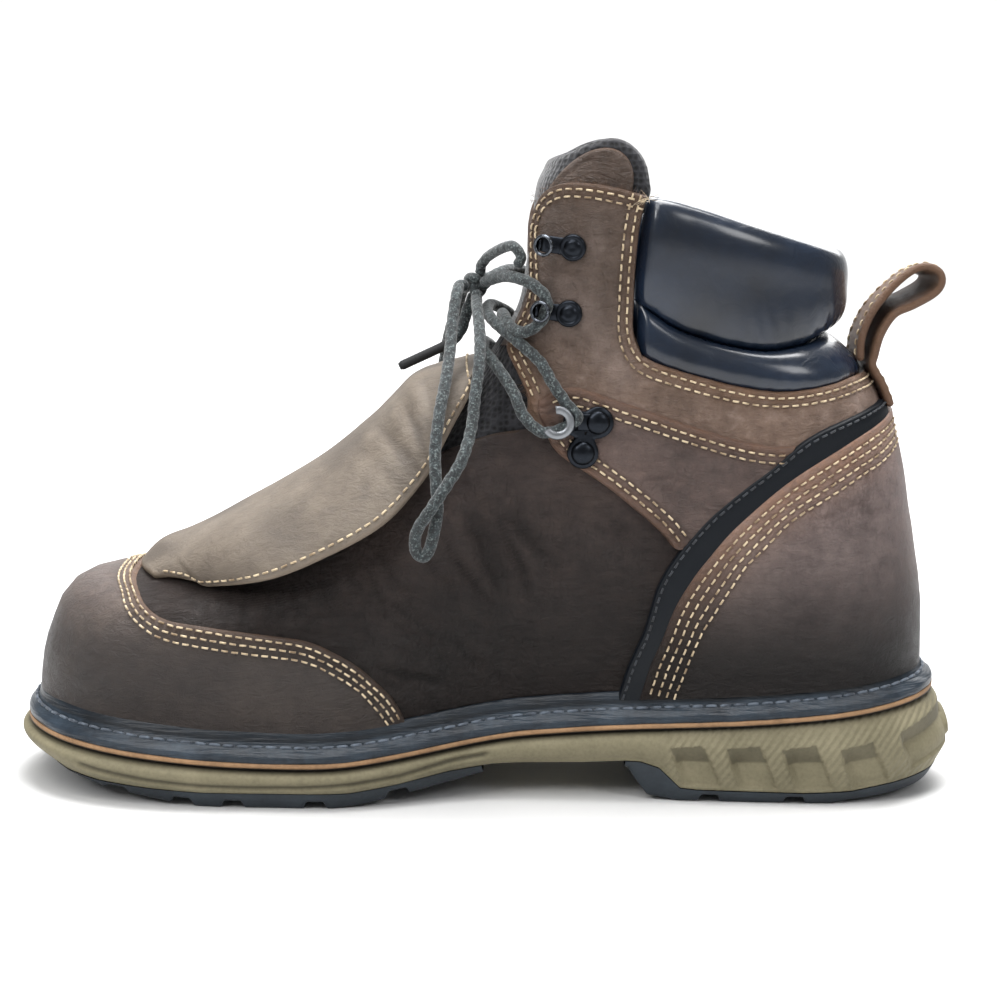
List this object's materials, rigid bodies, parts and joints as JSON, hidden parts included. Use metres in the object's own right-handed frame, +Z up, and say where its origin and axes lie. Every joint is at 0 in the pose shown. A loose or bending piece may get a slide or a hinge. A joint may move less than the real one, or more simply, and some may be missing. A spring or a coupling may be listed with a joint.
{
  "type": "metatarsal guard work boot",
  "caption": "Laced ankle-height work boot with a flap over the instep, toe cap, heel counter, padded collar, pull loop and welted lugged sole.",
  "frame": {"origin": "centre of the boot's box in plan, on the floor plane", "axes": "toe towards -X, heel towards +X, inner side towards -Y, outer side towards +Y, +Z up"},
  "size_m": [0.3064, 0.1109, 0.2093],
  "materials": {
    "rubber": "matte tread rubber",
    "foam": "tan cushion rubber",
    "runner": "orange tan",
    "welt": "dark blue grey",
    "leather": "waxed brown leather",
    "cuff": "warm brown leather",
    "guard": "taupe leather",
    "padding": "glossy coated leather",
    "mesh": "woven lining cloth",
    "trim": "black",
    "metal": "black japanned",
    "lace": "braided cord",
    "footbed": "cloth topped"
  },
  "bodies": {
    "root": {"outsole_forefoot": "rubber", "outsole_heel": "rubber", "midsole": "foam", "midsole_runner": "runner", "welt": "welt", "upper": "leather", "toe_cap": "leather", "heel_counter": "leather", "quarter_band_inner": "leather", "quarter_band_outer": "leather", "pull_loop": "cuff", "met_guard": "guard", "collar_pad": "padding", "collar_roll": "padding", "tongue": "mesh", "met_guard_lining": "trim", "rear_strip_inner": "trim", "rear_strip_outer": "trim", "aglet_inner": "trim", "aglet_outer": "trim", "hook_top_inner": "metal", "hook_top_outer": "metal", "hook_mid_inner": "metal", "hook_mid_outer": "metal", "lock_hook_inner": "metal", "lock_hook_outer": "metal", "lace_crossings": "lace", "lace_knot": "lace", "lace_ear": "lace", "lace_bow": "lace", "lace_end_inner": "lace", "lace_end_outer": "lace", "insole": "footbed"}
  },
  "joints": []
}
